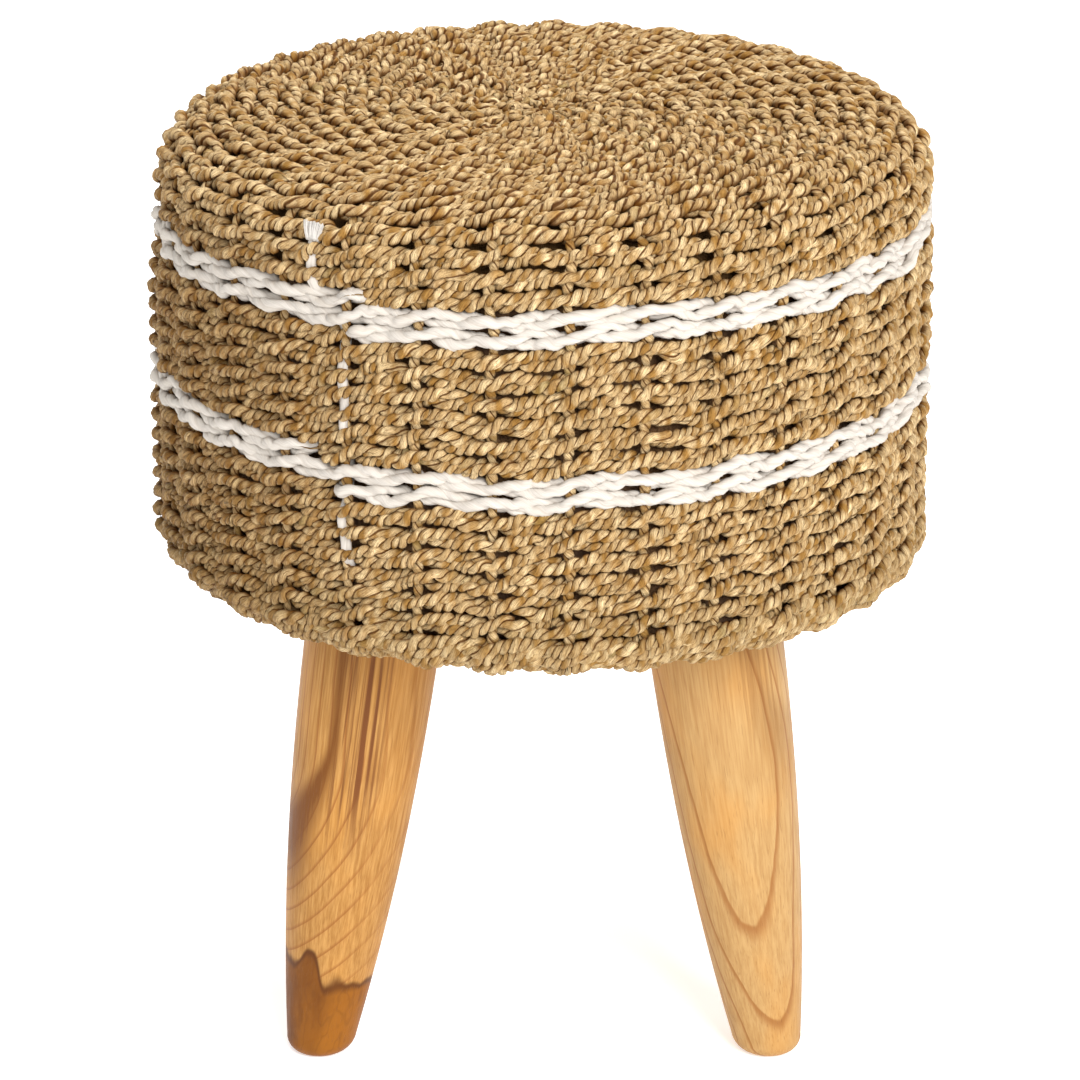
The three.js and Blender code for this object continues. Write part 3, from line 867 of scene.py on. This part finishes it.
def sweep(points, outward, outline, radius, turn, flatness=1.0):
    """The corners of a tube, one ring of them for each point of its path. Each corner is its
    place and, as a fourth number, how far it faces out of the cover, from 1 to -1."""
    angles, radii = outline
    ahead = np.gradient(points, axis=0)
    ahead /= np.linalg.norm(ahead, axis=1, keepdims=True)
    out = outward - (outward * ahead).sum(1, keepdims=True) * ahead
    out /= np.linalg.norm(out, axis=1, keepdims=True)
    side = np.cross(ahead, out)
    angle = angles[None, :] + turn[:, None]
    reach = (radii * np.asarray(radius).reshape(-1, 1))[..., None]
    across = np.sin(angle)[..., None] * side[:, None, :]
    outwards = flatness * np.cos(angle)[..., None] * out[:, None, :]
    places = points[:, None, :] + reach * (across + outwards)
    return np.concatenate([places, np.cos(angle)[..., None]], 2)


print("the outline of a cord has", len(lobed_outline(0.4)[0]), "corners")

# %% [markdown]
# Tubes are made in mesh code, since no primitive has this shape, and it is much quicker than an
# operator for each ring. Four-sided faces join one ring to the next, and a fan of triangles closes
# each end. The UV map named cord is written as the faces are made, with a seam of its own where
# the way round starts again. Several tubes may share one mesh.


# %% Tubes
def tube_faces(corners, along, angles, first):
    """Vertices, faces as lists of corners, and their UVs, for one tube with closed ends."""
    rings, count, _ = corners.shape
    round_share = np.append((angles - angles[0]) / (2 * math.pi), 1.0)
    ring, column = np.meshgrid(np.arange(rings - 1), np.arange(count), indexing="ij")
    ring, column = ring.ravel(), column.ravel()
    after = (column + 1) % count
    here, beyond = ring * count, (ring + 1) * count
    quads = first + np.stack(
        [here + column, here + after, beyond + after, beyond + column], 1
    )
    quad_uv = np.stack(
        [
            np.stack([along[ring], round_share[column]], 1),
            np.stack([along[ring], round_share[column + 1]], 1),
            np.stack([along[ring + 1], round_share[column + 1]], 1),
            np.stack([along[ring + 1], round_share[column]], 1),
        ],
        1,
    )
    columns = np.arange(count)
    after = (columns + 1) % count
    start, end = first + rings * count, first + rings * count + 1
    last = first + (rings - 1) * count
    caps = np.concatenate(
        [
            np.stack([np.full(count, start), first + after, first + columns], 1),
            np.stack([np.full(count, end), last + columns, last + after], 1),
        ]
    )
    cap_uv = np.zeros((2 * count, 3, 2))
    cap_uv[:count, :, 0] = along[0]
    cap_uv[count:, :, 0] = along[-1]
    middles = [corners[0].mean(0)[None], corners[-1].mean(0)[None]]
    vertices = np.concatenate([corners.reshape(-1, 4), *middles])
    return vertices, quads, quad_uv, caps, cap_uv


def make_tubes(name, tubes, angles, finish):
    """One mesh object from tubes, each given as its corners and the length at each ring."""
    vertices, quads, quad_uvs, caps, cap_uvs = [], [], [], [], []
    first = 0
    for corners, along in tubes:
        made = tube_faces(corners, along, angles, first)
        for store, part in zip((vertices, quads, quad_uvs, caps, cap_uvs), made):
            store.append(part)
        first += len(made[0])
    points = np.concatenate(vertices)
    corner_list = np.concatenate([np.concatenate(quads).ravel(), np.concatenate(caps).ravel()])
    quad_count, cap_count = sum(map(len, quads)), sum(map(len, caps))
    starts = np.concatenate([np.arange(quad_count) * 4, quad_count * 4 + np.arange(cap_count) * 3])
    flat_uvs = [np.concatenate(part).reshape(-1, 2) for part in (quad_uvs, cap_uvs)]
    uvs = np.concatenate(flat_uvs)
    mesh = bpy.data.meshes.new(name)
    mesh.vertices.add(len(points))
    mesh.vertices.foreach_set("co", points[:, :3].astype(np.float32).ravel())
    mesh.loops.add(len(corner_list))
    mesh.loops.foreach_set("vertex_index", corner_list.astype(np.int32))
    mesh.polygons.add(len(starts))
    mesh.polygons.foreach_set("loop_start", starts.astype(np.int32))
    mesh.update(calc_edges=True)
    mesh.uv_layers.new(name="cord").uv.foreach_set("vector", uvs.astype(np.float32).ravel())
    facing = np.repeat(points[:, 3:], 3, 1).astype(np.float32)
    mesh.attributes.new("facing", "FLOAT_VECTOR", "POINT").data.foreach_set("vector", facing.ravel())
    mesh.shade_smooth()
    mesh.materials.append(finish)
    made = bpy.data.objects.new(name, mesh)
    bpy.context.scene.collection.objects.link(made)
    return made


def triangles(made):
    return sum(len(face.vertices) - 2 for face in made.data.polygons)


path_step = 0.00112
ring_triangles = 2 * len(lobed_outline(0.4)[0])
print("a metre of cord takes", round(ring_triangles / path_step), "triangles")

# %% [markdown]
# The cover is cut into the same rings as the CAD model, and each ring has its two strands as
# pieces of their own. The lower weave's last rows are a ring of their own, so that no piece has
# too many faces. Where the colour changes, the ends of the cords are thinned and tucked in behind.

# %% Weave the cover
natural_outline = lobed_outline(0.43, 1.36)
white_outline = lobed_outline(0.26, 1.1)
natural_lay = 0.0105
white_lay = 0.0230
first_turn = 0.30
centre_reach = 0.0309
tuck_length = 0.009
tuck_depth = 0.0062
tuck_thinning = 0.25
thickness_play = 0.065
foot_thickening = 0.15
twist_play = 0.0017
points_per_turn = 2400


def turn_at(length):
    return float(np.interp(length, spiral_lengths, spiral_turns))


rings = [
    # piece, the CAD node it stands for, first and last turn
    ("centre_weave", "centre_weave", first_turn, turn_at(centre_reach)),
    ("crown_weave", "crown_weave", turn_at(centre_reach), turn_at(flat_length)),
    ("shoulder_weave", "shoulder_weave", turn_at(flat_length), upper_band_turns[0]),
    ("upper_white_band", "upper_white_band", *upper_band_turns),
    ("middle_weave", "middle_weave", upper_band_turns[1], lower_band_turns[0]),
    ("lower_white_band", "lower_white_band", *lower_band_turns),
    ("lower_weave", "lower_weave", lower_band_turns[1], turn_at(foot_start)),
    ("foot_weave", "lower_weave", turn_at(foot_start), turn_at(under_start)),
    ("hem_weave", "hem_weave", turn_at(under_start), last_turn),
]
cut_turns = (first_turn, *upper_band_turns, *lower_band_turns, last_turn)


def weave_strand(ring, node, start, end, strand):
    """One strand of one ring, as a twisted cord. Its start is tucked in unless it is the fold."""
    fine = np.linspace(start, end, max(40, int((end - start) * points_per_turn)))
    points, _ = strand_path(fine, strand)
    steps = np.linalg.norm(np.diff(points, axis=0), axis=1)
    along = np.concatenate([[0], np.cumsum(steps)])
    count = max(8, int(along[-1] / path_step))
    wanted = np.linspace(0, along[-1], count)
    turns = np.interp(wanted, along, fine)
    points, outward = strand_path(turns, strand)
    from_start = wanted if start in cut_turns and ring != "upper_white_band" else wanted + 1
    from_end = along[-1] - wanted if end in cut_turns else along[-1] - wanted + 1
    edge = np.clip(1 - np.minimum(from_start, from_end) / tuck_length, 0, 1)
    points = points - outward * (tuck_depth * edge**1.6)[:, None]
    white = "white" in node
    lay, hand = (white_lay, 1) if white else (natural_lay, -1)
    radius = white_radius if white else natural_radius
    radius = radius * (1 + thickness_play * wander(wanted, 0.035, 50 + strand))
    radius = radius * (1 - tuck_thinning * edge)
    lengths = np.interp(turns, spiral_turns, spiral_lengths)
    near_foot = smooth_step(lengths, foot_start - 0.008, foot_start)
    radius = radius * (1 + foot_thickening * near_foot)
    twisted = wanted + twist_play * wander(wanted, 0.04, 60 + strand)
    twist = hand * 2 * math.pi / lay * twisted
    outline = white_outline if white else natural_outline
    plump = 0.03 if white else 0.08
    rolls = np.repeat(outline[1][None, :], count, 0)
    rolls[:, 1:5] *= 1 + plump * wander(wanted, 0.016, 80 + strand)[:, None]
    rolls[:, 6:10] *= 1 + plump * wander(wanted, 0.016, 90 + strand)[:, None]
    corners = sweep(points, outward, (outline[0], rolls), radius, twist)
    finish = cotton if white else seagrass
    offset = 3.1 * strand + 0.37 * rings.index((ring, node, start, end))
    piece = make_tubes(f"{ring}_strand_{strand + 1}", [(corners, wanted + offset)], outline[0], finish)
    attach(piece, "root")
    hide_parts(node)
    return piece, along[-1]


cord_length = 0
cover_triangles = 0
for ring in rings:
    for strand in range(2):
        piece, length = weave_strand(*ring, strand)
        cord_length += length
        cover_triangles += triangles(piece)
        print(piece.name, triangles(piece), "triangles,", round(length, 2), "m")
print("the cover has", round(cord_length, 1), "m of cord and", cover_triangles, "triangles")

# %% [markdown]
# The white pair starts as one cord that is folded in half round a warp, and the fold shows. It is
# a short bent tube, and its two ends lie inside the ends of the two strands.

# %% The fold of the white cord
fold_reach = 0.0036
fold_start = np.array([upper_band_turns[0], upper_band_turns[0] + 0.0004])
fold_places = []
for strand in range(2):
    fold_places.append(strand_path(fold_start, strand)[0][0])
middle = (fold_places[0] + fold_places[1]) / 2
half = (fold_places[0] - fold_places[1]) / 2
fold_azimuth = seam_azimuth - 2 * math.pi * upper_band_turns[0]
to_right = np.array([math.cos(fold_azimuth), math.sin(fold_azimuth), 0])
bend = np.radians(np.linspace(-115, 115, 24))
points = middle + np.sin(bend)[:, None] * half + fold_reach * np.cos(bend)[:, None] * to_right
outward = np.tile([math.sin(fold_azimuth), -math.cos(fold_azimuth), 0.1], (len(bend), 1))
steps = np.linalg.norm(np.diff(points, axis=0), axis=1)
along = np.concatenate([[0], np.cumsum(steps)])
radius = np.full(len(bend), white_radius)
corners = sweep(points, outward, white_outline, radius, along * 2 * math.pi / white_lay)
fold = make_tubes("upper_white_fold", [(corners, along + 7.0)], white_outline[0], cotton)
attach(fold, "root")
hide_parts("upper_white_band")
print("the fold has", triangles(fold), "triangles")

# %% [markdown]
# The warps are cords too, squashed between the strands. Between two rows a warp swells out into
# the gap, and that is the small upright knob that shows there. So little of each is seen that all
# of them are one piece, as they are in the CAD model.

# %% Warp cords
warp_radius = 0.0024
warp_flatness = 0.68
warp_swell = 0.0010
warp_lay = 0.013
warp_step = 0.0014
warp_outline = lobed_outline(0.36, 1.2, (30, 68))


def warp_tube(index):
    """The corners and lengths of one warp."""
    length = np.arange(warp_starts[index], cover_end - 0.002, warp_step)
    azimuth = warp_azimuth(index, length)
    turns = np.arange(most_turns - 1) + float(((seam_azimuth - azimuth[0]) / (2 * math.pi)) % 1)
    row_lengths = np.interp(turns, spiral_turns, spiral_lengths)
    row_lengths = row_lengths + row_wobble(azimuth[0] + 0 * row_lengths, row_lengths)
    row = np.interp(length, row_lengths, np.arange(len(turns)))
    swell = (1 - np.cos(2 * math.pi * row)) / 2
    points, outward = on_drum(azimuth, length, warp_layer - 0.0003 + warp_swell * swell)
    radius = warp_radius * (0.90 + 0.22 * swell) * (1 + 0.08 * wander(length, 0.03, 70 + index))
    twist = -2 * math.pi * length / warp_lay + index
    corners = sweep(points, outward, warp_outline, radius, twist, warp_flatness)
    return corners, length + 0.53 * index


warp_tubes = [warp_tube(index) for index in range(warp_count)]
warps = make_tubes("warps", warp_tubes, warp_outline[0], seagrass)
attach(warps, "root")
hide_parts("warp_cords")
print(warp_count, "warps,", triangles(warps), "triangles")

# %% [markdown]
# The weaver doesn't cut the white cord between the two bands. It is carried down along a warp and
# peeps out between the rows. Its road is a list of places that were judged one by one.

# %% Carried white cord
carried_road = [
    # azimuth in degrees, length along the section, layer
    (-34.7, 0.1880, 0.0096),
    (-34.8, 0.1935, 0.0080),
    (-34.9, 0.2005, 0.0092),
    (-34.9, 0.2060, 0.0080),
    (-34.9, 0.2120, 0.0096),
    (-33.6, 0.2180, 0.0066),
    (-31.2, 0.2260, 0.0040),
    (-29.7, 0.2360, 0.0038),
    (-29.7, 0.2440, 0.0062),
    (-29.6, 0.2480, 0.0080),
    (-29.4, 0.2560, 0.0094),
    (-29.4, 0.2600, 0.0094),
    (-29.4, 0.2670, 0.0076),
    (-29.4, 0.2740, 0.0090),
    (-29.4, 0.2790, 0.0094),
    (-29.4, 0.2850, 0.0064),
    (-29.5, 0.2920, 0.0038),
    (-29.8, 0.3040, 0.0026),
    (-30.0, 0.3155, 0.0034),
    (-30.1, 0.3215, 0.0086),
    (-30.0, 0.3250, 0.0092),
    (-29.6, 0.3320, 0.0078),
    (-29.2, 0.3420, 0.0094),
    (-29.0, 0.3480, 0.0050),
]
carried_radius = 0.0028
carried_lay = 0.09
carried_flatness = 0.72
carried_step = 0.001
carried_outline = lobed_outline(0.20)


def smooth_road(road, step):
    """A road of points, with its corners rounded off, at even steps."""
    road = np.array(road, float)
    marks = np.concatenate([[0], np.cumsum(np.abs(np.diff(road[:, 1])))])
    wanted = np.arange(0, marks[-1], step)
    even = np.stack([np.interp(wanted, marks, road[:, axis]) for axis in range(3)], 1)
    kernel = np.ones(7) / 7
    for axis in range(3):
        padded = np.pad(even[:, axis], 3, mode="edge")
        even[:, axis] = np.convolve(padded, kernel, "valid")
    return even


road = smooth_road(carried_road, carried_step)
points, outward = on_drum(np.radians(road[:, 0]), road[:, 1], road[:, 2])
along = np.arange(len(road)) * carried_step
radius = np.full(len(road), carried_radius)
twist = along * 2 * math.pi / carried_lay
corners = sweep(points, outward, carried_outline, radius, twist, carried_flatness)
carried = make_tubes("carried_white_cord", [(corners, along + 9.0)], carried_outline[0], cotton)
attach(carried, "root")
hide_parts("white_carried_cord")
print("the carried cord has", triangles(carried), "triangles")

# %% [markdown]
# The carried cord's upper end is cut off above the band, and cotton that is cut opens into its
# threads. They start side by side in the cord and spread into a small brush as they rise.

# %% Frayed end of the white cord
thread_count = 90
thread_radius = 0.00046
thread_rng = np.random.default_rng(11)
thread_outline = (np.radians([0, 60, 120, 180, 240, 300]), np.ones(6))
threads = []
for _ in range(thread_count):
    spread = thread_rng.uniform(-1, 1)
    rise = np.linspace(0, 1, 7)
    azimuth = np.radians(-34.6) + spread * (0.016 + 0.011 * rise)
    azimuth = azimuth + 0.002 * thread_rng.normal() * rise
    length = 0.1926 - (0.0068 + 0.0010 * thread_rng.random()) * rise
    layer = 0.0094 + thread_rng.uniform(-0.0016, 0.0016) + 0.0030 * rise**0.8
    points, outward = on_drum(azimuth, length, layer)
    radius = thread_radius * (1 - 0.35 * rise)
    corners = sweep(points, outward, thread_outline, radius, rise * 3)
    threads.append((corners, rise * 0.0004 + 20))
frayed = make_tubes("frayed_white_end", threads, thread_outline[0], cotton_threads)
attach(frayed, "root")
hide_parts("white_carried_cord")
print("the frayed end has", len(threads), "threads")

# %% [markdown]
# Dried grass never lies quite flat. A few blades come loose from the cords and curl away, and
# they break up the neat outline of the drum. Each is a thin flat tube with a handful of faces.

# %% Loose blades
most_blades = 700
blade_rng = np.random.default_rng(5)
flat_outline = (np.radians([0, 90, 180, 270]), np.array([0.25, 1.0, 0.25, 1.0]))
blades = []
for _ in range(most_blades):
    strand = int(blade_rng.integers(0, 2))
    turn = blade_rng.uniform(15, last_turn - 6)
    if is_white(np.array([turn]))[0]:
        continue
    reach = blade_rng.uniform(0.005, 0.014)
    radius_here = float(section(np.interp(turn, spiral_turns, spiral_lengths), 0.0)[0])
    span = reach / (2 * math.pi * max(radius_here, 0.05)) * blade_rng.choice([-1, 1])
    share = np.linspace(0, 1, 7)
    points, outward = strand_path(turn + span * share, strand)
    lift = natural_radius * 0.88 + blade_rng.uniform(0.0001, 0.0013) * share**2
    droop = blade_rng.uniform(-0.003, 0.0002) * share**1.5
    points = points + outward * lift[:, None] + np.array([0, 0, 1]) * droop[:, None]
    width = blade_rng.uniform(0.00018, 0.00055) * (1 - 0.75 * share)
    corners = sweep(points, outward, flat_outline, width, share * 2.0)
    blades.append((corners, share * reach + turn * 7))
loose = make_tubes("loose_blades", blades, flat_outline[0], seagrass)
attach(loose, "root")
print(len(blades), "loose blades,", triangles(loose), "triangles")

# %% [markdown]
# The pad under the crown is a disc of foam in dark cloth, rounded at its upper edge. It starts as
# a circle, and each extrude and resize adds one level ring, the way a lathe would read a drawing.
# The same helper later turns the legs, whose rings also slide sideways as they rise.


# %% Rings by extrude and resize
def raise_rings(name, levels, sides):
    """A closed round shape. Each level gives its middle (x, y, z) and radius, from the bottom up."""
    deselect_all()
    (x, y, z), radius = levels[0]
    bpy.ops.mesh.primitive_circle_add(
        vertices=sides, radius=radius, fill_type="NGON", location=(x, y, z)
    )
    made = bpy.context.object
    made.name = name
    bpy.ops.object.transform_apply(location=True)
    bpy.ops.object.mode_set(mode="EDIT")
    bpy.ops.mesh.select_all(action="SELECT")
    for middle, next_radius in levels[1:]:
        move = (middle[0] - x, middle[1] - y, middle[2] - z)
        bpy.ops.mesh.extrude_region_move(TRANSFORM_OT_translate={"value": move})
        x, y, z = middle
        share = next_radius / radius
        bpy.ops.transform.resize(value=(share, share, 1), center_override=(x, y, z))
        radius = next_radius
    bpy.ops.mesh.select_all(action="SELECT")
    bpy.ops.mesh.normals_make_consistent(inside=False)
    bpy.ops.object.mode_set(mode="OBJECT")
    bpy.ops.object.shade_smooth_by_angle(angle=math.radians(40))
    return made


pad_sides = 96
pad_steps = 12
pad_levels = [((0, 0, pad_low.z), drum_radius), ((0, 0, pad_low.z + 0.002), drum_radius)]
for step in range(1, pad_steps + 1):
    turn = step / pad_steps * math.pi / 2
    level = pad_low.z + pad_rounding * math.sin(turn)
    if level > pad_low.z + 0.003:
        pad_levels.append(((0, 0, level), flat_length + pad_rounding * math.cos(turn)))
pad_levels.append(((0, 0, pad_high.z), flat_length * 0.5))
pad = raise_rings("padded_top", pad_levels, pad_sides)
pad.data.materials.append(pad_cloth)
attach(pad, "root")
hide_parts("foam_pad")
print("the pad has", triangles(pad), "triangles")

# %% [markdown]
# A leg swells towards its top and leans outwards, and its rings stay level, so its ends are flat
# on the floor and under the base. One leg is raised ring by ring, and the other three are copies
# turned about the middle of the stool, each with its own mesh. The vector named log, which the
# teak reads, is worked out from the leg's own axis and stored at each corner of its mesh.

# %% Legs
leg_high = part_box("front_right_leg")[1]
leg_top_radius = 0.0332
leg_foot_radius = 0.0171
foot_rounding = 0.008
leg_curve = 2.3
leg_height = leg_high.z
foot_spread = 0.1558
top_spread = 0.1097
foot_steps = 7
shaft_steps = 18
leg_sides = 72


def leg_axis(height):
    """How far the leg's axis is from the stool's middle, along x and along y."""
    share = height / leg_height
    return (foot_spread + (top_spread - foot_spread) * share) / math.sqrt(2)


def leg_levels():
    """The leg's rings from the floor up: the rounded foot first, then the swelling shaft."""
    levels = []
    for step in range(foot_steps):
        turn = step / foot_steps * math.pi / 2
        radius = leg_foot_radius - foot_rounding + foot_rounding * math.sin(turn)
        levels.append((foot_rounding - foot_rounding * math.cos(turn), radius))
    for step in range(shaft_steps + 1):
        share = step / shaft_steps
        swell = 1 - (1 - share) ** leg_curve
        radius = leg_foot_radius + (leg_top_radius - leg_foot_radius) * swell
        levels.append((foot_rounding + (leg_height - foot_rounding) * share, radius))
    return [((leg_axis(height), -leg_axis(height), height), radius) for height, radius in levels]


front_right = raise_rings("front_right_turned_leg", leg_levels(), leg_sides)
legs = {"front_right": front_right}
for corner, quarter in (("back_right", 1), ("back_left", 2), ("front_left", 3)):
    leg = front_right.copy()
    leg.data = front_right.data.copy()
    leg.name = f"{corner}_turned_leg"
    bpy.context.scene.collection.objects.link(leg)
    deselect_all()
    leg.rotation_euler.z = quarter * math.pi / 2
    leg.select_set(True)
    bpy.context.view_layer.objects.active = leg
    bpy.ops.object.transform_apply(rotation=True)
    legs[corner] = leg

for corner, leg in legs.items():
    place = np.zeros(len(leg.data.vertices) * 3, np.float32)
    leg.data.vertices.foreach_get("co", place)
    place = place.reshape(-1, 3)
    axis = leg_axis(place[:, 2])
    side_x = 1 if "right" in corner else -1
    side_y = 1 if "back" in corner else -1
    log = np.stack([place[:, 0] - side_x * axis, place[:, 1] - side_y * axis, place[:, 2]], 1)
    stored = leg.data.attributes.new("log", "FLOAT_VECTOR", "POINT")
    stored.data.foreach_set("vector", log.astype(np.float32).ravel())
    leg.data.materials.append(teaks[corner])
    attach(leg, "root")
    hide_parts(f"{corner}_leg")
print(len(legs), "legs,", triangles(front_right), "triangles each")
